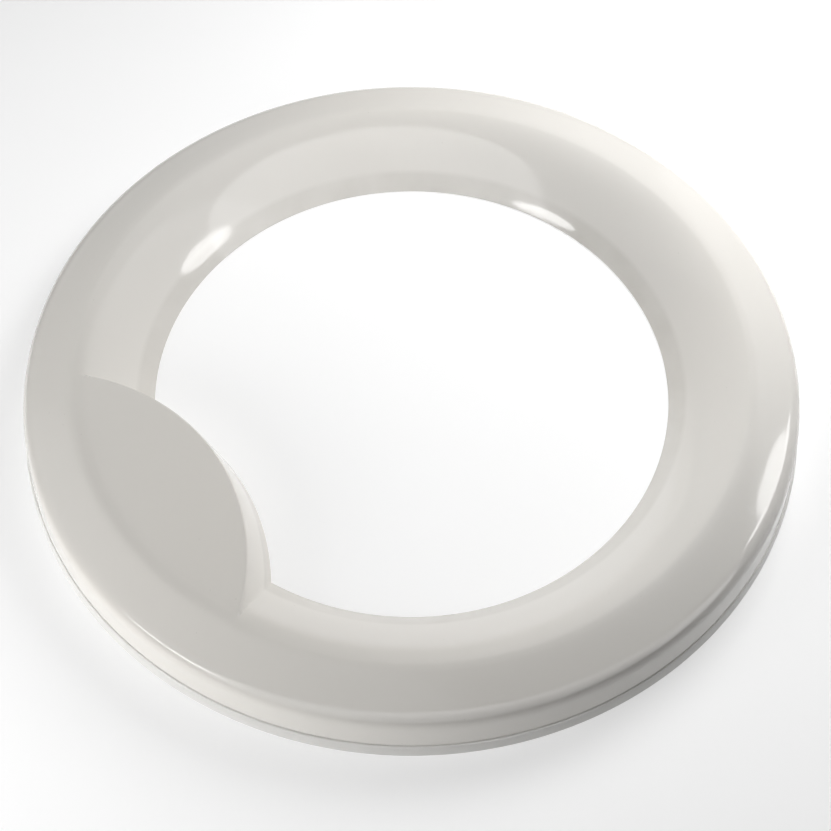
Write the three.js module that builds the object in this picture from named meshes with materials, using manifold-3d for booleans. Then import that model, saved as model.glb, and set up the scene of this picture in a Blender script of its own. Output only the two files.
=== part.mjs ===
// Toilet flange for a 110 mm soil pipe: a glossy cover ring with a lens-shaped web across one side
// of its hole, lifted off a base ring that carries a rubber gasket and four screwed spring clips.
// Millimetres, +Z up. Origin: the ring's centre on the plane that it stands on. The web is on -Y.

import * as THREE from 'three';
import { mergeVertices } from 'three/addons/utils/BufferGeometryUtils.js';
import Module from 'manifold-3d';

const wasm = await Module();
wasm.setup();

// ---------- driving dimensions ----------

const HOLE_RADIUS = 63;
const FOOT_RADIUS = 94;
const RIM_HEIGHT = 3.3;
const PARTING_GAP = 0.3;
const CREST = { r: 80.2, z: 14.5 };
const WALL = 2.2;
const FIT_GAP = 0.3;

const SKIRT_FOOT = { r: 93, z: RIM_HEIGHT + PARTING_GAP };
const SKIRT_TOP = { r: 92.1, z: 9.4 };
const SHOULDER = { r: 88.8, z: 13.15 };

// Control points of the cubic curves that the face follows between those points.
const SHOULDER_PULL = [{ r: 91.8, z: 11.4 }, { r: 91, z: 12.75 }];
const DOME_PULL = [{ r: 86.2, z: 13.62 }, { r: 82.9, z: 14.3 }];
const SLOPE_PULL = [{ r: 75.8, z: 14 }, { r: 67.2, z: 5.4 }];

const WEB = {
  centreY: -105,
  footRadius: 55.9,
  topRadius: 52.1,
  top: 13.8,
  ringReach: 81,
  cavityReach: 86,
};

const BASE = {
  inner: 70,
  rimTop: 93.3,
  plate: RIM_HEIGHT,
  wallInner: 87.4,
  wallOuter: 89.4,
  wallTop: 6.4,
  seatRadius: 78.5,
};

// Where the ring's section is closed off below, inside the cover's cavity.
const CAVITY_CORE = 74;

const GROOVE = { inner: 84, outer: 90.6, depth: 2 };
const POCKET = { inner: 72, outer: 82, depth: 1.6, count: 8, span: 28 };
const FIXING = { count: 4, hole: 4.6, head: 8.8, sink: 2.1 };

const CLIP = {
  count: 4,
  width: 9,
  thickness: 0.5,
  bossRadius: 4,
  bossTop: 6.8,
  tail: 74.6,
  knee: 85.6,
  bulge: { r: 89.9, z: 5.4 },
  toe: { r: 88.4, z: 4.1 },
  notch: 10,
};

const SCREW = {
  shank: 1.45,
  pilot: 1.75,
  pilotFloor: 1.9,
  head: 2.8,
  headHeight: 1.9,
  headEdge: 0.8,
  domeRadius: 2.1,
  domeEdge: 1.6,
  length: 4.6,
  recess: 3,
  recessWidth: 0.7,
  recessDepth: 1.1,
};

const RIB = { count: 8, width: 1.5, bottom: 7.2, inner: 69, outer: 89, clear: 30 };
const WEB_RIB = { pitch: 13, width: 1.5, bottom: 4.5, inner: 53, outer: 76 };

const WEB_ANGLE = 270;
const CLIP_ANGLES = [45, 135, 225, 315];
const STACK_GAP = 0.1;
const CLIP_TOP = CLIP.bossTop + STACK_GAP + CLIP.thickness;

// How far cutting solids run past the faces that they open, and joined ones sink into each other.
const OVERRUN = 1;

// Sides or steps on the ring, the web's long arc, a pocket's arcs and small round features.
const RING_STEPS = 72;
const WEB_STEPS = 144;
const SECTOR_STEPS = 10;
const SMALL_STEPS = 16;

// Steps on the skirt, shoulder, dome and slope of the cover's face.
const FACE_STEPS = [1, 4, 4, 8];
const MERGE_TOLERANCE = 1e-4;

const ABS_WHITE = { color: 0xe3e1dc, roughness: 0.16, metalness: 0 };
const PP_WHITE = { color: 0xdcdad5, roughness: 0.4, metalness: 0 };
const RUBBER = { color: 0x2b2c2e, roughness: 0.9, metalness: 0 };
const STEEL = { color: 0xb9bbbd, roughness: 0.3, metalness: 1 };

const rad = THREE.MathUtils.degToRad;

// ---------- solids from geometry ----------

function toSolid(geometry) {
  const bare = geometry.index ? geometry.toNonIndexed() : geometry.clone();
  bare.deleteAttribute('normal');
  bare.deleteAttribute('uv');
  const merged = mergeVertices(bare, MERGE_TOLERANCE);
  const mesh = new wasm.Mesh({
    numProp: 3,
    vertProperties: new Float32Array(merged.attributes.position.array),
    triVerts: new Uint32Array(merged.index.array),
  });
  return new wasm.Manifold(mesh);
}

function toGeometry(solid) {
  const mesh = solid.getMesh();
  const geometry = new THREE.BufferGeometry();
  geometry.setAttribute('position', new THREE.BufferAttribute(mesh.vertProperties, 3));
  geometry.setIndex(new THREE.BufferAttribute(mesh.triVerts, 1));
  geometry.computeVertexNormals();
  return geometry;
}

// A closed (r, z) outline, listed counter-clockwise, turned about the Z axis.
function revolve(outline, steps = RING_STEPS) {
  const closed = [...outline, outline[0]].map((p) => new THREE.Vector2(p.r, p.z));
  const geometry = new THREE.LatheGeometry(closed, steps);
  geometry.rotateX(Math.PI / 2);
  return toSolid(geometry);
}

// A profile that starts and ends on the axis, turned about the Z axis through (x, y).
function turned(outline, x, y, steps = SMALL_STEPS) {
  const profile = outline.map((p) => new THREE.Vector2(p.r, p.z));
  const geometry = new THREE.LatheGeometry(profile, steps);
  geometry.rotateX(Math.PI / 2);
  geometry.translate(x, y, 0);
  return toSolid(geometry);
}

function cylinder(radius, bottom, top, x, y, steps = SMALL_STEPS) {
  const outline = [
    { r: 0, z: bottom },
    { r: radius, z: bottom },
    { r: radius, z: top },
    { r: 0, z: top },
  ];
  return turned(outline, x, y, steps);
}

// An upright box that lies along a radius of the ring at the given angle.
function radialBox(inner, outer, width, bottom, top, degrees) {
  const geometry = new THREE.BoxGeometry(outer - inner, width, top - bottom);
  geometry.translate((inner + outer) / 2, 0, (bottom + top) / 2);
  geometry.rotateZ(rad(degrees));
  return toSolid(geometry);
}

function ringSector(inner, outer, bottom, top, degrees, span) {
  const from = rad(degrees - span / 2);
  const to = rad(degrees + span / 2);
  const shape = new THREE.Shape();
  shape.absarc(0, 0, outer, from, to, false);
  shape.absarc(0, 0, inner, to, from, true);
  const geometry = new THREE.ExtrudeGeometry(shape, {
    depth: top - bottom,
    bevelEnabled: false,
    curveSegments: SECTOR_STEPS,
  });
  geometry.translate(0, 0, bottom);
  return toSolid(geometry);
}

function spread(count, first = 0) {
  return Array.from({ length: count }, (_, i) => first + (i * 360) / count);
}

function polar(r, degrees) {
  return { x: r * Math.cos(rad(degrees)), y: r * Math.sin(rad(degrees)) };
}

// ---------- cover ring ----------

// The cover's outer face from the skirt's foot, over the shoulder and the crest, to the hole.
function faceCurve() {
  const path = new THREE.Path();
  const curveTo = ([a, b], end) => path.bezierCurveTo(a.r, a.z, b.r, b.z, end.r, end.z);
  path.moveTo(SKIRT_FOOT.r, SKIRT_FOOT.z);
  path.lineTo(SKIRT_TOP.r, SKIRT_TOP.z);
  curveTo(SHOULDER_PULL, SHOULDER);
  curveTo(DOME_PULL, CREST);
  curveTo(SLOPE_PULL, { r: HOLE_RADIUS, z: 0 });
  return path;
}

// The same face, moved into the material by the given depth.
function facePoints(depth = 0) {
  return faceCurve().curves.flatMap((curve, i) => {
    const points = [];
    const steps = FACE_STEPS[i];
    for (let k = i ? 1 : 0; k <= steps; k += 1) {
      const p = curve.getPoint(k / steps);
      const tangent = curve.getTangent(k / steps);
      points.push({ r: p.x - tangent.y * depth, z: p.y + tangent.x * depth });
    }
    return points;
  });
}

function ringBody() {
  const bottom = [
    { r: CAVITY_CORE, z: 0 },
    { r: CAVITY_CORE, z: SKIRT_FOOT.z },
  ];
  return revolve([...facePoints(), ...bottom]);
}

// What lies under the face at the given depth, run out below the ring.
function ringUnder(depth) {
  const points = facePoints(depth);
  const first = points[0];
  const last = points[points.length - 1];
  return revolve([...points, { r: last.r, z: -OVERRUN }, { r: first.r, z: -OVERRUN }]);
}

// The web's drafted plug, cut to the ring's reach, inset by the given depth.
function webPlug(depth, bottom, reach) {
  const top = WEB.top - depth;
  const draft = (WEB.footRadius - WEB.topRadius) / WEB.top;
  const geometry = new THREE.CylinderGeometry(
    WEB.footRadius - draft * top - depth,
    WEB.footRadius - draft * bottom - depth,
    top - bottom,
    WEB_STEPS,
  );
  geometry.rotateX(Math.PI / 2);
  geometry.translate(0, WEB.centreY, (top + bottom) / 2);
  return toSolid(geometry).intersect(cylinder(reach, bottom, top, 0, 0, RING_STEPS));
}

function coverRibs() {
  const clearOfWeb = (degrees) => Math.abs(degrees - WEB_ANGLE) > RIB.clear;
  return spread(RIB.count, 180 / RIB.count)
    .filter(clearOfWeb)
    .map((degrees) => radialBox(RIB.inner, RIB.outer, RIB.width, RIB.bottom, CREST.z, degrees))
    .map((box) => box.intersect(ringUnder(WALL / 2)));
}

function webRibs() {
  const plug = webPlug(WALL / 2, 0, WEB.cavityReach);
  return [-1, 0, 1].map((side) => {
    const geometry = new THREE.BoxGeometry(
      WEB_RIB.width,
      WEB_RIB.outer - WEB_RIB.inner,
      WEB.top - WEB_RIB.bottom,
    );
    geometry.translate(
      side * WEB_RIB.pitch,
      -(WEB_RIB.inner + WEB_RIB.outer) / 2,
      (WEB.top + WEB_RIB.bottom) / 2,
    );
    return toSolid(geometry).intersect(plug);
  });
}

function coverRing() {
  const body = ringBody().add(webPlug(0, 0, WEB.ringReach));
  const cavity = ringUnder(WALL).add(webPlug(WALL, -OVERRUN, WEB.cavityReach));
  return [...coverRibs(), ...webRibs()].reduce((solid, rib) => solid.add(rib), body.subtract(cavity));
}

// ---------- base ring ----------

function basePlate() {
  return revolve([
    { r: BASE.inner, z: 0 },
    { r: GROOVE.inner, z: 0 },
    { r: GROOVE.inner, z: GROOVE.depth },
    { r: GROOVE.outer, z: GROOVE.depth },
    { r: GROOVE.outer, z: 0 },
    { r: FOOT_RADIUS, z: 0 },
    { r: BASE.rimTop, z: BASE.plate },
    { r: BASE.wallOuter, z: BASE.plate },
    { r: BASE.wallOuter, z: BASE.wallTop },
    { r: BASE.wallInner, z: BASE.wallTop },
    { r: BASE.wallInner, z: BASE.plate },
    { r: BASE.inner, z: BASE.plate },
  ]);
}

function fixingHole(degrees) {
  const { x, y } = polar(BASE.seatRadius, degrees);
  const hole = cylinder(FIXING.hole / 2, -OVERRUN, BASE.plate + OVERRUN, x, y);
  const sink = turned(
    [
      { r: 0, z: BASE.plate - FIXING.sink },
      { r: FIXING.hole / 2, z: BASE.plate - FIXING.sink },
      { r: FIXING.head / 2, z: BASE.plate },
      { r: FIXING.head / 2, z: BASE.plate + OVERRUN },
      { r: 0, z: BASE.plate + OVERRUN },
    ],
    x,
    y,
  );
  return hole.add(sink);
}

function baseRing() {
  let solid = basePlate();
  for (const degrees of spread(POCKET.count, 180 / POCKET.count)) {
    const { inner, outer, depth, span } = POCKET;
    solid = solid.subtract(ringSector(inner, outer, -OVERRUN, depth, degrees, span));
  }
  for (const degrees of spread(FIXING.count)) {
    solid = solid.subtract(fixingHole(degrees));
  }
  for (const degrees of CLIP_ANGLES) {
    const { x, y } = polar(BASE.seatRadius, degrees);
    const notch = [BASE.wallInner - OVERRUN, BASE.wallOuter + OVERRUN, BASE.plate, BASE.wallTop + OVERRUN];
    solid = solid
      .subtract(ringSector(...notch, degrees, CLIP.notch))
      .add(cylinder(CLIP.bossRadius, BASE.plate - OVERRUN, CLIP.bossTop, x, y))
      .subtract(cylinder(SCREW.pilot, SCREW.pilotFloor, CLIP.bossTop + OVERRUN, x, y));
  }
  return solid;
}

function gasket() {
  const inner = GROOVE.inner + FIT_GAP;
  const outer = GROOVE.outer - FIT_GAP;
  const top = GROOVE.depth - FIT_GAP;
  return revolve([
    { r: inner, z: 0 },
    { r: outer, z: 0 },
    { r: outer, z: top },
    { r: inner, z: top },
  ]);
}

// ---------- spring clips and their screws ----------

// Outline of a strip of the given thickness whose upper face follows the points.
function stripOutline(points, thickness) {
  const under = points.map((p, i) => {
    const before = points[Math.max(i - 1, 0)];
    const after = points[Math.min(i + 1, points.length - 1)];
    const length = Math.hypot(after.r - before.r, after.z - before.z);
    const across = { r: (after.z - before.z) / length, z: -(after.r - before.r) / length };
    return { r: p.r + across.r * thickness, z: p.z + across.z * thickness };
  });
  return [...points, ...under.reverse()];
}

function retainingClip(degrees) {
  const upper = [
    { r: CLIP.tail, z: CLIP_TOP },
    { r: CLIP.knee, z: CLIP_TOP },
    CLIP.bulge,
    CLIP.toe,
  ];
  const outline = stripOutline(upper, CLIP.thickness);
  const shape = new THREE.Shape(outline.map((p) => new THREE.Vector2(p.r, p.z)));
  const geometry = new THREE.ExtrudeGeometry(shape, { depth: CLIP.width, bevelEnabled: false });
  geometry.rotateX(Math.PI / 2);
  geometry.translate(0, CLIP.width / 2, 0);
  geometry.rotateZ(rad(degrees));
  const { x, y } = polar(BASE.seatRadius, degrees);
  return toSolid(geometry).subtract(cylinder(SCREW.pilot, 0, CREST.z, x, y));
}

function clipScrew(degrees) {
  const { x, y } = polar(BASE.seatRadius, degrees);
  const seat = CLIP_TOP + STACK_GAP;
  const top = seat + SCREW.headHeight;
  const tip = seat - SCREW.length;
  const body = turned(
    [
      { r: 0, z: tip },
      { r: SCREW.shank, z: tip + SCREW.shank },
      { r: SCREW.shank, z: seat },
      { r: SCREW.head, z: seat },
      { r: SCREW.head, z: seat + SCREW.headEdge },
      { r: SCREW.domeRadius, z: seat + SCREW.domeEdge },
      { r: 0, z: top },
    ],
    x,
    y,
  );
  const slots = [0, 90].map((turn) => {
    const geometry = new THREE.BoxGeometry(SCREW.recess, SCREW.recessWidth, 2 * SCREW.recessDepth);
    geometry.rotateZ(rad(degrees + turn));
    geometry.translate(x, y, top);
    return toSolid(geometry);
  });
  return slots.reduce((solid, slot) => solid.subtract(slot), body);
}

// ---------- assembly ----------

function named(name, solid, look) {
  const mesh = new THREE.Mesh(toGeometry(solid), new THREE.MeshStandardMaterial(look));
  mesh.name = name;
  return mesh;
}

const cover = new THREE.Group();
cover.add(named('cover_ring', coverRing(), ABS_WHITE));

const base = new THREE.Group();
base.add(named('base_ring', baseRing(), PP_WHITE));
base.add(named('base_gasket', gasket(), RUBBER));
CLIP_ANGLES.forEach((degrees, i) => {
  base.add(named(`retaining_clip_${i + 1}`, retainingClip(degrees), STEEL));
  base.add(named(`clip_screw_${i + 1}`, clipScrew(degrees), STEEL));
});

const flange = new THREE.Group();
flange.add(base, cover);

export default flange;
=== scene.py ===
"""Looks of the toilet flange: fine meshes, moulded-plastic materials, studio light and camera."""

import math

import bmesh
import bpy
import numpy as np
from mathutils import Matrix, Quaternion, Vector


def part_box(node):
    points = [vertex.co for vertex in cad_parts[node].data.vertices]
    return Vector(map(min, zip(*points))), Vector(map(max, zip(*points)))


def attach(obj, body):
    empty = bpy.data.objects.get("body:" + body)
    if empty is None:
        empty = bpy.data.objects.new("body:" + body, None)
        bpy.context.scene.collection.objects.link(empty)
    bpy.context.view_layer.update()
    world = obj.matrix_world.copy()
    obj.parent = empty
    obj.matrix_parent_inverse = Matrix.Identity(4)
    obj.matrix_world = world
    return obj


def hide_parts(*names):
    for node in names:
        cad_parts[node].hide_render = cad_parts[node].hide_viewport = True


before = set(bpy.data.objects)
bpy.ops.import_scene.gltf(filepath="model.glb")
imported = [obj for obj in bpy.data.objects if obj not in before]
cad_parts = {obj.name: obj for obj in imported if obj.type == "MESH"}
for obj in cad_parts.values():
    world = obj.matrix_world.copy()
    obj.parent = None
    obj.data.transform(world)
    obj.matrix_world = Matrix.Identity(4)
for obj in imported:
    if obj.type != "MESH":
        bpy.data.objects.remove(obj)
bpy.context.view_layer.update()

MM = 0.001

# ---------- sizes in millimetres, as in the CAD model ----------

COVER_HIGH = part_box("cover_ring")[1] / MM
BASE_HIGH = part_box("base_ring")[1] / MM
GASKET_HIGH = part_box("base_gasket")[1] / MM

SKIRT_R = COVER_HIGH.x
FOOT_R = BASE_HIGH.x
CREST = (80.2, COVER_HIGH.z)
SKIRT_FOOT = (SKIRT_R, 3.6)
SKIRT_TOP = (92.1, 9.4)
SHOULDER = (88.8, 13.15)
HOLE_R = 63.0
WALL = 2.2

WEB_CENTRE = 105.0
WEB_FOOT_R = 55.9
WEB_TOP_R = 52.1
WEB_TOP = 13.8
WEB_ANGLE = -90.0

RIM_HEIGHT = 3.3
RIM_TOP_R = 93.3
BASE_INNER = 70.0
BASE_WALL = (87.4, 89.4)
BASE_WALL_TOP = BASE_HIGH.z - 0.4
GROOVE = (84.0, 90.6)
GROOVE_DEPTH = 2.0
POCKET = (72.0, 82.0)
POCKET_DEPTH = 1.6
POCKET_SPAN = 28.0
SEAT_R = 78.5
BOSS_R = 4.0
BOSS_TOP = BASE_HIGH.z
PILOT_R = 1.6
HOLE_DIAMETER = 4.6
SINK_DIAMETER = 8.8
SINK_DEPTH = 2.1

CLIP_ANGLES = (45, 135, 225, 315)
FIXING_ANGLES = (0, 90, 180, 270)
BETWEEN_ANGLES = np.arange(22.5, 360, 45)
CLIP_WIDTH = 9.0
CLIP_THICKNESS = 0.5
CLIP_TOP = BOSS_TOP + 0.1 + CLIP_THICKNESS
CLIP_PATH = [(74.6, CLIP_TOP), (85.6, CLIP_TOP), (89.9, 5.4), (88.4, 4.1)]
SCREW_SEAT = CLIP_TOP + 0.1
SCREW_HEAD_R = 2.8
SCREW_HEAD_HEIGHT = 1.9
SCREW_LENGTH = 4.6
SCREW_SHANK_R = 1.45


# ---------- curves and blends ----------

def bezier(points, count):
    """Points along a cubic curve, as an array of (r, z)."""
    a, b, c, d = (np.array(p, float) for p in points)
    t = np.linspace(0, 1, count)[:, None]
    s = 1 - t
    return s**3 * a + 3 * s * s * t * b + 3 * s * t * t * c + t**3 * d


def moved_in(line, depth):
    """An (r, z) line moved into the material, which lies on its left."""
    step = np.gradient(line, axis=0)
    step /= np.linalg.norm(step, axis=1)[:, None]
    return line + depth * np.stack([-step[:, 1], step[:, 0]], 1)


def soft_min(a, b, width):
    """The lower of two values, with the corner between them rounded off where they are this close."""
    h = np.clip(0.5 + 0.5 * (b - a) / width, 0, 1)
    return b + (a - b) * h - width * h * (1 - h)


def soft_max(a, b, width):
    return -soft_min(-a, -b, width)


SHOULDER_LINE = bezier([SKIRT_TOP, (91.8, 11.4), (91.0, 12.75), SHOULDER], 16)
DOME_END = (82.9, 14.3)
DOME_LINE = bezier([SHOULDER, (86.2, 13.62), DOME_END, CREST], 40)
SLOPE_START = (75.8, 14.0)
SLOPE_END = (67.2, 5.4)
SLOPE_LINE = bezier([CREST, SLOPE_START, SLOPE_END, (HOLE_R, 0.0)], 80)
CREST_ROUNDING = 0.26
DOME_RISE = (CREST[1] - DOME_END[1]) / (DOME_END[0] - CREST[0])
SLOPE_RISE = (CREST[1] - SLOPE_START[1]) / (CREST[0] - SLOPE_START[0])
EDGE_RISE = SLOPE_END[1] / (SLOPE_END[0] - HOLE_R)


def face_height(r):
    """Height of the cover's face from inside the shoulder to the hole, with a rounded crest."""
    dome = np.interp(r, DOME_LINE[::-1, 0], DOME_LINE[::-1, 1])
    dome = dome + DOME_RISE * np.maximum(CREST[0] - r, 0)
    slope = np.interp(r, SLOPE_LINE[::-1, 0], SLOPE_LINE[::-1, 1])
    slope = slope + SLOPE_RISE * np.maximum(r - CREST[0], 0) - EDGE_RISE * np.maximum(HOLE_R - r, 0)
    return soft_min(dome, slope, CREST_ROUNDING)


UNDER_LINE = moved_in(np.vstack([DOME_LINE[:-1], SLOPE_LINE]), WALL)
UNDER_EDGE = HOLE_R + WALL * math.hypot(1, EDGE_RISE) / EDGE_RISE


def under_height(r):
    """Height of the cover's underside from inside the shoulder to the hole."""
    height = np.interp(r, UNDER_LINE[::-1, 0], UNDER_LINE[::-1, 1])
    return height - EDGE_RISE * np.maximum(UNDER_LINE[-1, 0] - r, 0)


# ---------- the lens-shaped web ----------

WEB_RIM_ROUNDING = 1.2
VALLEY_ROUNDING = 0.5


def web_distance(r, turn):
    """Distance from the web's own axis of a point at radius r, turned away from the web's middle."""
    return np.sqrt(r * r + WEB_CENTRE**2 - 2 * r * WEB_CENTRE * np.cos(turn))


def web_height(r, turn, depth=0.0):
    """Height of the web's flat top and drafted wall, or of a face this deep inside them."""
    top = WEB_TOP - depth
    draft = (WEB_FOOT_R - WEB_TOP_R) / WEB_TOP
    wall = (WEB_FOOT_R - depth - web_distance(r, turn)) / draft
    return soft_min(np.full_like(r, top), wall, WEB_RIM_ROUNDING)


def radius_at(distance, turn, fallback):
    """Radius on the near side of the web's arc of the given distance, or fallback beside the web."""
    across = WEB_CENTRE * math.sin(turn)
    if abs(turn) > math.pi / 2 or abs(across) >= distance:
        return fallback
    return min(fallback, WEB_CENTRE * math.cos(turn) - math.sqrt(distance**2 - across**2))


# ---------- mesh helpers ----------

SHARP_ANGLE = math.radians(35)


def add_mesh(name, shape):
    """A new object in metres from a (vertices, faces) shape in millimetres."""
    verts, faces = shape
    mesh = bpy.data.meshes.new(name)
    mesh.from_pydata([Vector(v) * MM for v in verts], [], faces)
    mesh.validate()
    obj = bpy.data.objects.new(name, mesh)
    bpy.context.scene.collection.objects.link(obj)
    bm = bmesh.new()
    bm.from_mesh(mesh)
    bmesh.ops.recalc_face_normals(bm, faces=bm.faces)
    bm.to_mesh(mesh)
    bm.free()
    return obj


def finished(obj, body, replaced, material):
    """Shades a piece, gives it its material, ties it to its body and hides the CAD part it stands in for."""
    for polygon in obj.data.polygons:
        polygon.use_smooth = True
    obj.data.set_sharp_from_angle(angle=SHARP_ANGLE)
    obj.data.materials.clear()
    obj.data.materials.append(material)
    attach(obj, body)
    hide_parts(replaced)
    return obj


def combine(obj, shapes, operation):
    """Joins ("UNION") or cuts ("DIFFERENCE") an object with each of some (vertices, faces) shapes."""
    tool = add_mesh("tool", merged(shapes))
    modifier = obj.modifiers.new("combine", "BOOLEAN")
    modifier.operation = operation
    modifier.solver = "MANIFOLD"
    modifier.object = tool
    whole = obj.evaluated_get(bpy.context.evaluated_depsgraph_get())
    mesh = bpy.data.meshes.new_from_object(whole)
    obj.modifiers.clear()
    obj.data = mesh
    bpy.data.objects.remove(tool)


def merged(shapes):
    verts = []
    faces = []
    for more_verts, more_faces in shapes:
        start = len(verts)
        verts += more_verts
        faces += [tuple(i + start for i in face) for face in more_faces]
    return verts, faces


def at(r, degrees, z):
    a = math.radians(degrees)
    return (r * math.cos(a), r * math.sin(a), z)


def grid_faces(columns, rows, close_columns=True, close_rows=True):
    """Four-sided faces between neighbouring columns of points, which close on themselves if asked."""
    faces = []
    for c in range(columns if close_columns else columns - 1):
        d = (c + 1) % columns
        for k in range(rows if close_rows else rows - 1):
            j = (k + 1) % rows
            faces.append((c * rows + k, d * rows + k, d * rows + j, c * rows + j))
    return faces


def loft(loops):
    """A solid through loops that have equally many points, capped at both ends."""
    rows = len(loops[0])
    verts = [point for loop in loops for point in loop]
    faces = grid_faces(len(loops), rows, close_columns=False)
    faces.append(tuple(range(rows)))
    faces.append(tuple(range(len(verts) - rows, len(verts))))
    return verts, faces


def revolved(outline, steps):
    """A closed (r, z) outline turned about the Z axis."""
    verts = [at(r, 360 * s / steps, z) for s in range(steps) for r, z in outline]
    return verts, grid_faces(steps, len(outline))


def turned(outline, centre=(0, 0), steps=48):
    """An (r, z) line turned about an upright axis and capped at both ends."""
    angles = np.arange(steps) * 360 / steps
    loops = [[at(r, a, z) for a in angles] for r, z in outline]
    return loft([[(x + centre[0], y + centre[1], z) for x, y, z in loop] for loop in loops])


def rounded(corners, radius, steps=4, closed=True):
    """An outline with its corners rounded. A corner may give its own radius as a third value."""
    points = []
    count = len(corners)
    for i, corner in enumerate(corners):
        p = np.array(corner[:2], float)
        if not closed and i in (0, count - 1):
            points.append(tuple(p))
            continue
        size = corner[2] if len(corner) > 2 else radius
        before = np.array(corners[i - 1][:2], float) - p
        after = np.array(corners[(i + 1) % count][:2], float) - p
        size = min(size, 0.45 * np.linalg.norm(before), 0.45 * np.linalg.norm(after))
        a = p + before / np.linalg.norm(before) * size
        b = p + after / np.linalg.norm(after) * size
        for t in np.linspace(0, 1, steps + 1):
            points.append(tuple((1 - t) ** 2 * a + 2 * t * (1 - t) * p + t * t * b))
    return points


def rounded_rectangle(half_u, half_v, corner, side_steps=12, corner_steps=5):
    """Points round a rectangle, with its two long sides split into short steps."""
    points = []
    for start, (su, sv) in zip((0, 90, 180, 270), ((1, 1), (-1, 1), (-1, -1), (1, -1))):
        for angle in np.radians(np.linspace(start, start + 90, corner_steps)):
            u = su * (half_u - corner) + corner * math.cos(angle)
            v = sv * (half_v - corner) + corner * math.sin(angle)
            points.append((u, v))
        if start in (0, 180):
            flat = half_u - corner
            for t in np.linspace(su * flat, -su * flat, side_steps + 2)[1:-1]:
                points.append((t, sv * half_v))
    return points


# ---------- cover ----------

FINE_REACH = 31.0
FINE_STEP = 0.25
COARSE_STEP = 1.0


def column_angles():
    """Angles away from the web's middle: close together where the web's arc meets the ring."""
    coarse_start = FINE_REACH + COARSE_STEP
    fine = np.arange(-FINE_REACH, FINE_REACH + 0.01, FINE_STEP)
    coarse = np.arange(coarse_start, 360 - coarse_start + 0.01, COARSE_STEP)
    return np.concatenate([fine, coarse])


LIP = 0.15
WEB_TIP = math.radians(27.6)
WALL_SPREAD = np.array([0.04, 0.08, 0.12, 0.16, 0.2, 0.25, 0.32, 0.42, 0.54, 0.67, 0.8, 0.9, 1])
# Radii outside which the web reaches neither face nor underside, and where the skirt's wall starts.
VALLEY_OUTSIDE = 80.0
CAVITY_OUTSIDE = 84.0
SHELL_INSIDE = 86.5


def outer_points():
    """The skirt's rounded foot, the skirt, the shoulder and most of the dome."""
    foot = [
        (SKIRT_FOOT[0] - 0.30, SKIRT_FOOT[1]),
        (SKIRT_FOOT[0] - 0.09, SKIRT_FOOT[1] + 0.08),
        (SKIRT_FOOT[0] - 0.03, SKIRT_FOOT[1] + 0.30),
    ]
    return np.vstack([foot, skirt_line(), SHOULDER_LINE[1:], DOME_LINE[1:34:2]])


def skirt_line():
    rise = np.linspace(0.08, 1, 8)[:, None]
    return np.array(SKIRT_FOOT) + (np.array(SKIRT_TOP) - np.array(SKIRT_FOOT)) * rise


def face_points(start, turn, foot):
    """The face from the dome to the hole at one angle, denser where the web's wall stands."""
    held = max(-WEB_TIP, min(WEB_TIP, turn))
    rim = radius_at(WEB_TOP_R - 0.5, held, CREST[0])
    low = max(radius_at(WEB_FOOT_R + 0.2, held, CREST[0]), foot + LIP + 0.6)
    low = min(low, rim - 1.0)
    r = np.concatenate([
        np.linspace(start, rim, 44)[1:],
        rim + (low - rim) * WALL_SPREAD,
        np.linspace(low, foot + LIP, 20)[1:],
    ])
    z = soft_max(face_height(r), web_height(r, turn), VALLEY_ROUNDING)
    z = np.where(r > VALLEY_OUTSIDE, face_height(r), z)
    return np.stack([r, z], 1)


def under_points(turn):
    """The underside from the hole's edge to the skirt, at one angle."""
    edge = min(UNDER_EDGE, radius_at(WEB_FOOT_R - WALL, turn, UNDER_EDGE))
    r = np.linspace(edge, SHELL_INSIDE, 46)
    z = soft_max(under_height(r), web_height(r, turn, WALL), VALLEY_ROUNDING)
    z = np.where(r > CAVITY_OUTSIDE, under_height(r), z)
    z[0] = 0.0
    shell = moved_in(np.vstack([skirt_line(), SHOULDER_LINE[1:], DOME_LINE[1:8]]), WALL)[::-1]
    foot_r = shell[-1, 0]
    foot = [(foot_r, SKIRT_FOOT[1] + 0.25), (foot_r + 0.25, SKIRT_FOOT[1])]
    return np.vstack([np.stack([r, z], 1), shell, foot])


def cover_column(degrees):
    """The cover's closed section at one angle, from the skirt's foot over the face and back under."""
    turn = math.radians((degrees + 180) % 360 - 180)
    foot = min(HOLE_R, radius_at(WEB_FOOT_R, turn, HOLE_R))
    outer = outer_points()
    face = face_points(outer[-1, 0], turn, foot)
    edge = [(foot, LIP - 0.03), (foot + LIP - 0.03, 0.0)]
    return np.vstack([outer, face, edge, under_points(turn)])


def cover_shell():
    angles = column_angles()
    columns = [cover_column(a) for a in angles]
    verts = [at(r, WEB_ANGLE + a, z) for a, column in zip(angles, columns) for r, z in column]
    return verts, grid_faces(len(angles), len(columns[0]))


RIB_WIDTH = 1.5
RIB_SINK = 0.6
RIB_STEPS = 18
RING_RIB = (70.5, 89.3)
RING_RIB_LOW = 7.2
RING_RIB_DEEPEST = 6.0
WEB_RIB_PLACES = (-13, 0, 13)
WEB_RIB_START = -53.6
WEB_RIB_SHIFT = 0.13
WEB_RIB_END = -77.5
WEB_RIB_LOW = (4.9, 4.5)
PAD_SEAT_R = 84.0
PAD_ANGLES = (*range(0, 360, 45), 11.25, 168.75)


def away_from_web(degrees, clearance):
    return abs(degrees - (WEB_ANGLE + 360)) >= clearance


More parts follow.
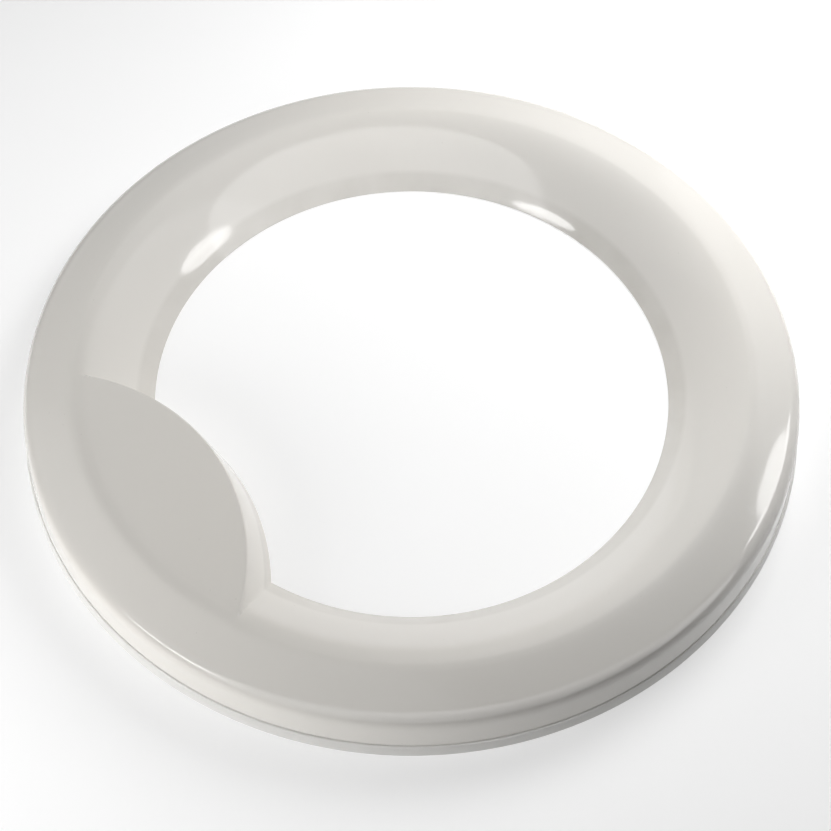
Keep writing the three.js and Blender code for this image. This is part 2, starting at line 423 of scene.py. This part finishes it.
def rib(path, top, bottom):
    """A stiffening rib along a plan path, with its top sunk in the wall and a bevelled lower edge."""
    along = np.array(path[-1]) - np.array(path[0])
    along = along / np.linalg.norm(along)
    side = np.array([-along[1], along[0]]) * RIB_WIDTH / 2
    loops = []
    for (x, y), high, low in zip(path, top, bottom):
        section = ((1, high), (-1, high), (-0.82, low + 0.3), (-0.55, low), (0.55, low), (0.82, low + 0.3))
        loops.append([(x + s * side[0], y + s * side[1], z) for s, z in section])
    return loft(loops)


def ring_rib(degrees):
    """A radial rib under the face, from the inner slope out to the shoulder."""
    r = np.linspace(*RING_RIB, RIB_STEPS)
    top = under_height(r) + RIB_SINK
    low = np.minimum(np.maximum(RING_RIB_LOW, top - RING_RIB_DEEPEST), top - 0.4)
    return rib([at(v, degrees, 0)[:2] for v in r], top, low)


def web_rib(x):
    """A rib under the web, running outward from its curved wall."""
    y = np.linspace(WEB_RIB_START - abs(x) * WEB_RIB_SHIFT, WEB_RIB_END, RIB_STEPS)
    top = np.full(RIB_STEPS, WEB_TOP - WALL + RIB_SINK)
    return rib([(x, v) for v in y], top, np.linspace(*WEB_RIB_LOW, RIB_STEPS))


def cover_ribs():
    radial = [ring_rib(a) for a in BETWEEN_ANGLES if away_from_web(a, 30)]
    return radial + [web_rib(x) for x in WEB_RIB_PLACES]


def ejector_pads():
    """Shallow round marks that the mould's ejector pins leave under the dome."""
    level = under_height(np.array([PAD_SEAT_R]))[0]
    outline = [(1.8, level - 0.25), (2.0, level - 0.1), (2.0, level + 0.8)]
    places = [at(PAD_SEAT_R, a, 0)[:2] for a in PAD_ANGLES if away_from_web(a, 20)]
    return [turned(outline, place, 32) for place in places]


def build_cover(material):
    cover = add_mesh("cover_shell", cover_shell())
    combine(cover, cover_ribs(), "UNION")
    combine(cover, ejector_pads(), "UNION")
    return finished(cover, "cover", "cover_ring", material)


# ---------- base ring ----------

BASE_FILLET = 0.3
NOTCH_HALF_ANGLE = math.radians(5)
PIN_MARK_R = 77.0


def base_outline():
    corners = [
        (BASE_INNER, 0),
        (GROOVE[0], 0),
        (GROOVE[0], GROOVE_DEPTH),
        (GROOVE[1], GROOVE_DEPTH),
        (GROOVE[1], 0),
        (FOOT_R, 0, 0.35),
        (RIM_TOP_R, RIM_HEIGHT, 0.35),
        (BASE_WALL[1], RIM_HEIGHT, 0.5),
        (BASE_WALL[1], BASE_WALL_TOP, 0.7),
        (BASE_WALL[0], BASE_WALL_TOP),
        (BASE_WALL[0], RIM_HEIGHT, 0.5),
        (BASE_INNER, RIM_HEIGHT),
    ]
    return rounded(corners, BASE_FILLET)


def pocket(degrees):
    """A weight-saving pocket under the base ring, with a chamfered mouth and a filleted floor."""
    middle = (POCKET[0] + POCKET[1]) / 2
    half_u = math.radians(POCKET_SPAN) * middle / 2
    half_v = (POCKET[1] - POCKET[0]) / 2
    levels = (
        (-1.0, -0.25),
        (0.0, -0.25),
        (0.25, 0.0),
        (POCKET_DEPTH - 0.35, 0.06),
        (POCKET_DEPTH - 0.1, 0.16),
        (POCKET_DEPTH, 0.4),
    )
    loops = []
    for z, inset in levels:
        plan = rounded_rectangle(half_u - inset, half_v - inset, 1.6 - inset)
        loops.append([at(middle + v, degrees + math.degrees(u / middle), z) for u, v in plan])
    return loft(loops)


def fixing_hole(degrees):
    """A countersunk hole for one of the screws that hold the base ring to the floor."""
    hole = HOLE_DIAMETER / 2
    sink = SINK_DIAMETER / 2
    outline = [
        (hole + 0.3, -1.0),
        (hole + 0.3, 0.0),
        (hole, 0.3),
        (hole, RIM_HEIGHT - SINK_DEPTH),
        (sink - 0.1, RIM_HEIGHT - 0.1),
        (sink + 0.15, RIM_HEIGHT + 0.02),
        (sink + 0.15, RIM_HEIGHT + 1.0),
    ]
    return turned(outline, at(SEAT_R, degrees, 0)[:2])


def clip_boss(degrees):
    """The filleted stud that a clip is screwed down on."""
    foot = BOSS_R + 0.7
    fillet = rounded([(foot, RIM_HEIGHT - 0.02), (BOSS_R, RIM_HEIGHT - 0.02), (BOSS_R, RIM_HEIGHT + 0.7)],
                     0.68, 5, closed=False)
    outline = [(foot, RIM_HEIGHT - 0.6)] + fillet
    outline += [(BOSS_R - 0.05, BOSS_TOP - 0.3), (BOSS_R - 0.15, BOSS_TOP - 0.08), (BOSS_R - 0.35, BOSS_TOP)]
    return turned(outline, at(SEAT_R, degrees, 0)[:2])


def pilot_hole(degrees):
    outline = [
        (0.6 * PILOT_R, 1.7),
        (PILOT_R, 2.1),
        (PILOT_R, BOSS_TOP - 0.3),
        (PILOT_R + 0.3, BOSS_TOP),
        (PILOT_R + 0.3, BOSS_TOP + 1.0),
    ]
    return turned(outline, at(SEAT_R, degrees, 0)[:2], 32)


def wall_notch(degrees):
    """The gap in the base ring's wall that a spring clip passes through."""
    middle = sum(BASE_WALL) / 2
    half = NOTCH_HALF_ANGLE * middle
    low = RIM_HEIGHT - 0.05
    plan = rounded([(-half, BASE_WALL_TOP + 1), (-half, low), (half, low), (half, BASE_WALL_TOP + 1)],
                   0.8, 6, closed=False)
    loops = []
    for r in (BASE_WALL[0] - 0.8, BASE_WALL[1] + 0.8):
        loops.append([at(r, degrees + math.degrees(u / middle), z) for u, z in plan])
    return loft(loops)


def pin_mark(degrees):
    """The shallow round dent that one of the mould's ejector pins leaves in the base ring."""
    outline = [(1.9, RIM_HEIGHT - 0.12), (2.1, RIM_HEIGHT - 0.04), (2.1, RIM_HEIGHT + 0.5)]
    return turned(outline, at(PIN_MARK_R, degrees, 0)[:2], 32)


def build_base(material):
    base = add_mesh("base_body", revolved(base_outline(), 360))
    combine(base, [cut(a) for cut in (pocket, pin_mark) for a in BETWEEN_ANGLES], "DIFFERENCE")
    combine(base, [fixing_hole(a) for a in FIXING_ANGLES], "DIFFERENCE")
    combine(base, [wall_notch(a) for a in CLIP_ANGLES], "DIFFERENCE")
    combine(base, [clip_boss(a) for a in CLIP_ANGLES], "UNION")
    combine(base, [pilot_hole(a) for a in CLIP_ANGLES], "DIFFERENCE")
    return finished(base, "base", "base_ring", material)


# ---------- gasket ----------

GASKET_GAP = 0.3
SEAL_BEADS = 3
BEAD_HEIGHT = 0.35


def build_gasket(material):
    """A rubber ring with sealing beads on its lower face."""
    inner = GROOVE[0] + GASKET_GAP
    outer = GROOVE[1] - GASKET_GAP
    top = rounded([(outer, 0.6), (outer, GASKET_HIGH.z), (inner, GASKET_HIGH.z), (inner, 0.6)],
                  0.4, closed=False)
    t = np.linspace(0, 1, 12 * SEAL_BEADS + 1)
    wave = 0.5 + 0.5 * np.cos(2 * math.pi * SEAL_BEADS * t)
    beads = [(inner + (outer - inner) * s, BEAD_HEIGHT * h) for s, h in zip(t, wave)]
    ring = add_mesh("gasket_ring", revolved(beads + top, 300))
    return finished(ring, "base", "base_gasket", material)


# ---------- spring clips and their screws ----------

CLIP_BEND = 1.2
CLIP_END_RADIUS = 1.6


def clip_stations():
    """Points along the clip's upper face, with bends rounded and the ends closely stepped."""
    path = np.array(rounded(CLIP_PATH, CLIP_BEND, 8, closed=False))
    length = np.concatenate([[0], np.cumsum(np.linalg.norm(np.diff(path, axis=0), axis=1))])
    near = CLIP_END_RADIUS * (1 - np.cos(np.linspace(0, math.pi / 2, 9)))
    middle = np.linspace(near[-1], length[-1] - near[-1], 60)[1:-1]
    s = np.concatenate([near, middle, length[-1] - near[::-1]])
    points = np.stack([np.interp(s, length, path[:, k]) for k in (0, 1)], 1)
    from_end = np.minimum(s, length[-1] - s)
    return points, from_end


def clip_shape():
    """A bent strip that lies along X, with rounded corners at both ends."""
    points, from_end = clip_stations()
    step = np.gradient(points, axis=0)
    step /= np.linalg.norm(step, axis=1)[:, None]
    inward = np.stack([step[:, 1], -step[:, 0]], 1)
    loops = []
    for p, into, d in zip(points, inward, from_end):
        short = max(CLIP_END_RADIUS - d, 0)
        cut = CLIP_END_RADIUS - math.sqrt(CLIP_END_RADIUS**2 - short**2)
        half = CLIP_WIDTH / 2 - cut
        section = rounded([(-half, 0), (half, 0), (half, CLIP_THICKNESS), (-half, CLIP_THICKNESS)], 0.12, 2)
        loops.append([(p[0] + into[0] * v, u, p[1] + into[1] * v) for u, v in section])
    return loft(loops)


def build_clip(number, degrees, material):
    clip = add_mesh(f"clip_strip_{number}", clip_shape())
    screw_hole = [
        (PILOT_R + 0.25, CLIP_TOP - CLIP_THICKNESS - 1),
        (PILOT_R + 0.15, CLIP_TOP - CLIP_THICKNESS / 2),
        (PILOT_R + 0.15, CLIP_TOP + 1),
    ]
    combine(clip, [turned(screw_hole, (SEAT_R, 0))], "DIFFERENCE")
    clip.rotation_euler = (0, 0, math.radians(degrees))
    return finished(clip, "base", f"retaining_clip_{number}", material)


THREAD_PITCH = 1.1
THREAD_DEPTH = 0.38
CROSS_TURN = 17


def thread_shape(top, length):
    """A tapping-screw shank with a helical thread, pointed at its lower end."""
    around = 32
    rows = 96
    loops = []
    for z in np.linspace(top, top - length, rows):
        taper = min(1.0, 0.12 + (z - top + length) / SCREW_SHANK_R)
        loop = []
        for k in range(around):
            phase = (z / THREAD_PITCH - k / around) % 1.0
            ridge = max(0.0, 1 - abs(phase - 0.5) / 0.3)
            loop.append(at((SCREW_SHANK_R - THREAD_DEPTH * (1 - ridge)) * taper, 360 * k / around, z))
        loops.append(loop)
    return loft(loops)


def recess_shape(top):
    """The tapered cross recess in a screw's head."""
    loops = []
    for z, arm, width in ((top + 0.4, 1.62, 0.46), (top - 0.5, 1.36, 0.36), (top - 1.15, 0.5, 0.3)):
        quarter = [(arm, -width), (arm, width), (width, width)]
        loop = []
        for turn in range(4):
            c, s = round(math.cos(turn * math.pi / 2)), round(math.sin(turn * math.pi / 2))
            loop += [(c * x - s * y, s * x + c * y, z) for x, y in quarter]
        loops.append(loop)
    return loft(loops)


def build_screw(number, degrees, material):
    """A pan-head tapping screw, standing at its clip's seat."""
    edge = SCREW_HEAD_HEIGHT - 1.0
    dome = bezier([(SCREW_HEAD_R, edge), (SCREW_HEAD_R, 1.55), (1.9, SCREW_HEAD_HEIGHT),
                   (0.05, SCREW_HEAD_HEIGHT)], 14)
    outline = [(1.2, 0.02), (SCREW_HEAD_R - 0.15, 0.0), (SCREW_HEAD_R, 0.15)] + [tuple(p) for p in dome]
    screw = add_mesh(f"screw_{number}", turned(outline, steps=64))
    combine(screw, [recess_shape(SCREW_HEAD_HEIGHT)], "DIFFERENCE")
    combine(screw, [thread_shape(0.3, SCREW_LENGTH + 0.3)], "UNION")
    x, y, z = at(SEAT_R, degrees, SCREW_SEAT)
    screw.location = Vector((x, y, z)) * MM
    screw.rotation_euler = (0, 0, math.radians(degrees + CROSS_TURN * number))
    return finished(screw, "base", f"clip_screw_{number}", material)


# ---------- materials ----------

def principled(name, colour, roughness, metallic=0.0):
    material = bpy.data.materials.new(name)
    material.use_nodes = True
    shader = material.node_tree.nodes["Principled BSDF"]
    shader.inputs["Base Color"].default_value = (*colour, 1)
    shader.inputs["Roughness"].default_value = roughness
    shader.inputs["Metallic"].default_value = metallic
    return material, shader


def add_node(tree, kind, inputs, **settings):
    """A node with its settings, whose inputs are given as values or as the sockets they come from."""
    node = tree.nodes.new(kind)
    for name, value in settings.items():
        setattr(node, name, value)
    for name, value in inputs.items():
        if isinstance(value, bpy.types.NodeSocket):
            tree.links.new(value, node.inputs[name])
        else:
            node.inputs[name].default_value = value
    return node


def object_place(tree):
    return tree.nodes.new("ShaderNodeTexCoord").outputs["Object"]


def stretched(tree, place, scale):
    node = add_node(tree, "ShaderNodeMapping", {"Vector": place, "Scale": scale})
    return node.outputs["Vector"]


def noise(tree, place, scale, detail=3.0, rough=0.5):
    """A noise value. scale is in waves per metre."""
    inputs = {"Vector": place, "Scale": scale, "Detail": detail, "Roughness": rough}
    return add_node(tree, "ShaderNodeTexNoise", inputs).outputs["Fac"]


def spread_to(tree, value, from_low, from_high, to_low, to_high):
    inputs = {
        "Value": value,
        "From Min": from_low,
        "From Max": from_high,
        "To Min": to_low,
        "To Max": to_high,
    }
    return add_node(tree, "ShaderNodeMapRange", inputs).outputs["Result"]


def math_node(tree, operation, a, b):
    return add_node(tree, "ShaderNodeMath", {0: a, 1: b}, operation=operation).outputs[0]


def blended(tree, amount, colour_a, colour_b):
    node = tree.nodes.new("ShaderNodeMix")
    node.data_type = "RGBA"
    tree.links.new(amount, node.inputs["Factor"])
    for socket, colour in ((node.inputs["A"], colour_a), (node.inputs["B"], colour_b)):
        if isinstance(colour, bpy.types.NodeSocket):
            tree.links.new(colour, socket)
        else:
            socket.default_value = (*colour, 1)
    return node.outputs["Result"]


def bumped(tree, shader, layers):
    """Stacks (height, depth in metres) layers of bump under the shader's normal."""
    normal = None
    for height, depth in layers:
        inputs = {"Height": height, "Distance": depth, "Strength": 1.0}
        if normal is not None:
            inputs["Normal"] = normal
        normal = add_node(tree, "ShaderNodeBump", inputs).outputs["Normal"]
    tree.links.new(normal, shader.inputs["Normal"])


def specks(tree, place, scale, size):
    """Small round marks, thinly scattered: 1 on a mark, 0 elsewhere."""
    cells = add_node(tree, "ShaderNodeTexVoronoi", {"Vector": place, "Scale": scale})
    near = spread_to(tree, cells.outputs["Distance"], size, 0.6 * size, 0, 1)
    pick = add_node(tree, "ShaderNodeSeparateColor", {"Color": cells.outputs["Color"]})
    chosen = spread_to(tree, pick.outputs[0], 0.80, 0.82, 0, 1)
    return math_node(tree, "MULTIPLY", near, chosen)


def band(tree, place, low, high):
    """1 below the low height in metres, falling to 0 at the high one."""
    axes = add_node(tree, "ShaderNodeSeparateXYZ", {"Vector": place})
    return spread_to(tree, axes.outputs["Z"], low, high, 1, 0)


def polar_place(tree, place, around, along):
    """Coordinates that run round the Z axis and out from it, for marks that follow the ring."""
    axes = add_node(tree, "ShaderNodeSeparateXYZ", {"Vector": place})
    angle = math_node(tree, "ARCTAN2", axes.outputs["Y"], axes.outputs["X"])
    x2 = math_node(tree, "MULTIPLY", axes.outputs["X"], axes.outputs["X"])
    y2 = math_node(tree, "MULTIPLY", axes.outputs["Y"], axes.outputs["Y"])
    radius = math_node(tree, "SQRT", math_node(tree, "ADD", x2, y2), 0.0)
    inputs = {
        "X": math_node(tree, "MULTIPLY", angle, around),
        "Y": math_node(tree, "MULTIPLY", radius, along),
        "Z": math_node(tree, "MULTIPLY", axes.outputs["Z"], along),
    }
    return add_node(tree, "ShaderNodeCombineXYZ", inputs).outputs["Vector"]


# Heights in metres between which the painted shade at the skirt's foot, over its gap to the base ring, fades
# out.
SKIRT_FOOT_SHADE = (0.0036, 0.0046)


def gloss_abs():
    """Glossy off-white moulding: faint clouding, sink ripple, fine peel, hairline scuffs, dust, and painted
    shade along the skirt's foot.
    """
    material, shader = principled("gloss_abs", (0.72, 0.70, 0.665), 0.11)
    tree = material.node_tree
    place = object_place(tree)
    cloud = noise(tree, place, 16, 3)
    warm = noise(tree, place, 7, 1)
    clouding = spread_to(tree, cloud, 0.3, 0.7, 0, 1)
    tone = blended(tree, clouding, (0.708, 0.690, 0.655), (0.732, 0.712, 0.677))
    tone = blended(tree, spread_to(tree, warm, 0.4, 0.75, 0, 0.6), tone, (0.728, 0.699, 0.650))
    dust = specks(tree, place, 420, 0.06)
    tone = blended(tree, math_node(tree, "MULTIPLY", dust, 0.35), tone, (0.40, 0.38, 0.34))
    # Painted shade: the skirt darkens towards its foot, over the gap above the base ring, broken up by
    # noise.
    foot_shade = math_node(tree, "MULTIPLY", band(tree, place, *SKIRT_FOOT_SHADE), noise(tree, place, 90, 4))
    tone = blended(tree, math_node(tree, "MULTIPLY", foot_shade, 0.45), tone, (0.46, 0.44, 0.40))
    tree.links.new(tone, shader.inputs["Base Color"])
    haze = spread_to(tree, noise(tree, place, 38, 5, 0.6), 0.35, 0.7, 0.055, 0.095)
    hair = noise(tree, stretched(tree, place, (60, 900, 900)), 1.0, 4, 0.6)
    scuff = spread_to(tree, hair, 0.66, 0.72, 0, 0.10)
    tree.links.new(math_node(tree, "ADD", haze, scuff), shader.inputs["Roughness"])
    ripple = noise(tree, place, 24, 1)
    peel = noise(tree, place, 700, 2)
    bumped(tree, shader, [(ripple, 0.00010), (peel, 0.0000025), (hair, 0.000003)])
    return material


def satin_pp():
    """Satin moulding: a fine spark-eroded grain with flow lines that follow the ring."""
    material, shader = principled("satin_pp", (0.70, 0.69, 0.665), 0.36)
    tree = material.node_tree
    place = object_place(tree)
    flow = noise(tree, polar_place(tree, place, 3.0, 260), 1.0, 3)
    tone = blended(tree, flow, (0.675, 0.664, 0.638), (0.722, 0.712, 0.688))
    dust = specks(tree, place, 500, 0.07)
    tone = blended(tree, math_node(tree, "MULTIPLY", dust, 0.4), tone, (0.36, 0.34, 0.30))
    tree.links.new(tone, shader.inputs["Base Color"])
    grain = noise(tree, place, 2600, 3, 0.6)
    tree.links.new(spread_to(tree, flow, 0.3, 0.7, 0.30, 0.42), shader.inputs["Roughness"])
    bumped(tree, shader, [(flow, 0.00002), (grain, 0.000012)])
    return material


def soft_rubber():
    """Matt rubber with a fine grain and patches of pale talc dust."""
    material, shader = principled("soft_rubber", (0.032, 0.032, 0.034), 0.72)
    tree = material.node_tree
    place = object_place(tree)
    talc = noise(tree, place, 140, 6, 0.65)
    dusting = spread_to(tree, talc, 0.45, 0.75, 0, 1)
    tone = blended(tree, dusting, (0.026, 0.026, 0.028), (0.085, 0.083, 0.080))
    tree.links.new(tone, shader.inputs["Base Color"])
    tree.links.new(spread_to(tree, talc, 0.3, 0.7, 0.62, 0.85), shader.inputs["Roughness"])
    bumped(tree, shader, [(noise(tree, place, 1500, 3), 0.00003)])
    return material


def spring_steel():
    """Rolled stainless strip, with rolling lines along its length and a faint mottled tone."""
    material, shader = principled("spring_steel", (0.60, 0.60, 0.59), 0.26, 1.0)
    tree = material.node_tree
    place = object_place(tree)
    lines = noise(tree, stretched(tree, place, (60, 6500, 2500)), 1.0, 4, 0.6)
    cloud = noise(tree, place, 260, 3)
    tone = blended(tree, cloud, (0.55, 0.548, 0.535), (0.66, 0.658, 0.650))
    tree.links.new(tone, shader.inputs["Base Color"])
    tree.links.new(spread_to(tree, lines, 0.3, 0.7, 0.18, 0.36), shader.inputs["Roughness"])
    bumped(tree, shader, [(lines, 0.000006), (cloud, 0.00001)])
    return material


def turned_steel():
    """Stainless screw, with the faint rings of its rolled head and a darker mottled tone."""
    material, shader = principled("turned_steel", (0.56, 0.56, 0.55), 0.3, 1.0)
    tree = material.node_tree
    place = object_place(tree)
    rings = noise(tree, polar_place(tree, place, 0.6, 5200), 1.0, 3)
    cloud = noise(tree, place, 900, 3)
    tone = blended(tree, cloud, (0.48, 0.478, 0.465), (0.63, 0.628, 0.62))
    tree.links.new(tone, shader.inputs["Base Color"])
    tree.links.new(spread_to(tree, rings, 0.3, 0.7, 0.22, 0.40), shader.inputs["Roughness"])
    bumped(tree, shader, [(rings, 0.000005), (cloud, 0.000006)])
    return material


def build_object():
    build_cover(gloss_abs())
    build_base(satin_pp())
    build_gasket(soft_rubber())
    strip = spring_steel()
    screw = turned_steel()
    for number, degrees in enumerate(CLIP_ANGLES, 1):
        build_clip(number, degrees, strip)
        build_screw(number, degrees, screw)


build_object()

# ---------- stage ----------

FLOOR_SIZE = 3.0
FLOOR_Z = -0.0001
FLOOR_GLOW = 0.5


def build_floor():
    mesh = bpy.data.meshes.new("floor")
    corners = [(x * FLOOR_SIZE, y * FLOOR_SIZE, FLOOR_Z) for x, y in ((-1, -1), (1, -1), (1, 1), (-1, 1))]
    mesh.from_pydata(corners, [], [(0, 1, 2, 3)])
    floor = bpy.data.objects.new("floor", mesh)
    bpy.context.scene.collection.objects.link(floor)
    material, shader = principled("floor_white", (0.54, 0.54, 0.54), 0.9)
    shader.inputs["Specular IOR Level"].default_value = 0
    shader.inputs["Emission Color"].default_value = (1, 1, 1, 1)
    shader.inputs["Emission Strength"].default_value = FLOOR_GLOW
    mesh.materials.append(material)


build_floor()

# ---------- camera ----------

CAMERA_AZIMUTH = math.radians(56.0)
CAMERA_PITCH = math.radians(57.05)
CAMERA_DISTANCE = 0.3103
AIM_RIGHT = 0.00093
AIM_UP = -0.00854
SENSOR_MM = 36.0
LENS_MM = 54.4332


def build_camera():
    data = bpy.data.cameras.new("camera")
    data.sensor_width = SENSOR_MM
    data.lens = LENS_MM
    camera = bpy.data.objects.new("camera", data)
    bpy.context.scene.collection.objects.link(camera)
    turn = Matrix.Rotation(CAMERA_AZIMUTH, 3, "Z") @ Matrix.Rotation(math.pi / 2 - CAMERA_PITCH, 3, "X")
    camera.location = turn @ Vector((AIM_RIGHT, AIM_UP, CAMERA_DISTANCE))
    camera.rotation_euler = turn.to_euler()
    bpy.context.scene.camera = camera


build_camera()

# ---------- light ----------

# Name, azimuth from the camera's right, elevation, distance, size, turn about its own axis, power,
# in degrees, metres and watts.
FILLS = (
    ("key", 45, 45, 0.28, (0.16, 0.16), 0, 0.76),
    ("front_left", 221, 20, 0.28, (0.16, 0.16), 0, 0.34),
    ("left", 160, 45, 0.28, (0.16, 0.16), 0, 0.11),
    ("low_left", 210, 14, 1.0, (0.4, 0.4), 0, 1.5),
    ("low_right", 30, 14, 1.0, (0.4, 0.4), 0, 0.85),
)
# The same with the radiance in place of the power, and how far a card's edges fade.
CARDS = (
    ("window", 3.5, 34.7, 0.199, (0.064, 0.028), -26, 32, 0.15),
    ("strip_front", -145, 30.8, 0.6, (0.21, 0.052), 11, 45, 0.15),
    ("right_side", 14, 22, 0.6, (0.98, 0.46), 0, 4.0, 0.4),
    ("camera_side", 284, 40, 0.6, (1.3, 0.52), 0, 10, 0.45),
    ("left_high", 210, 60, 0.7, (0.92, 0.58), 0, 2.4, 0.4),
)

# A card is this many equal layers of falling size.
CARD_LAYERS = 6


def area_light(name, azimuth, elevation, distance, size, turn, power, shape="RECTANGLE"):
    """A flat light, placed by its direction as the camera sees it, aimed at the ring."""
    data = bpy.data.lights.new(name, "AREA")
    data.shape = shape
    data.size, data.size_y = size
    data.energy = power
    light = bpy.data.objects.new(name, data)
    bpy.context.scene.collection.objects.link(light)
    a = math.radians(azimuth) + CAMERA_AZIMUTH
    e = math.radians(elevation)
    toward = Vector((math.cos(a) * math.cos(e), math.sin(a) * math.cos(e), math.sin(e)))
    light.location = toward * distance
    aim = toward.to_track_quat("Z", "Y") @ Quaternion((0, 0, 1), math.radians(turn))
    light.rotation_euler = aim.to_euler()
    return light


def soft_card(name, azimuth, elevation, distance, size, turn, radiance, fade):
    """An oval card that only shows as gloss, with softened edges."""
    for i in range(CARD_LAYERS):
        scale = 1 + fade * (1 - 2 * i / (CARD_LAYERS - 1))
        scaled = tuple(scale * side for side in size)
        power = math.pi * scaled[0] * scaled[1] * radiance / CARD_LAYERS
        layer = f"{name}_{i + 1}"
        light = area_light(layer, azimuth, elevation, distance, scaled, turn, power, "ELLIPSE")
        light.visible_diffuse = False


def build_lights():
    """Soft boxes that light the ring but aren't mirrored in it, and cards that only show as gloss."""
    for values in FILLS:
        area_light(*values).visible_glossy = False
    for values in CARDS:
        soft_card(*values)


build_lights()


BACKDROP_GLOW = 0.6


def build_world():
    """A pale backdrop beyond the floor's edge, which lights nothing itself."""
    world = bpy.data.worlds.new("studio")
    bpy.context.scene.world = world
    world.use_nodes = True
    background = world.node_tree.nodes["Background"]
    background.inputs["Color"].default_value = (1, 1, 1, 1)
    background.inputs["Strength"].default_value = BACKDROP_GLOW
    world.cycles_visibility.diffuse = False
    world.cycles_visibility.glossy = False


build_world()
bpy.context.scene.view_settings.view_transform = "Standard"
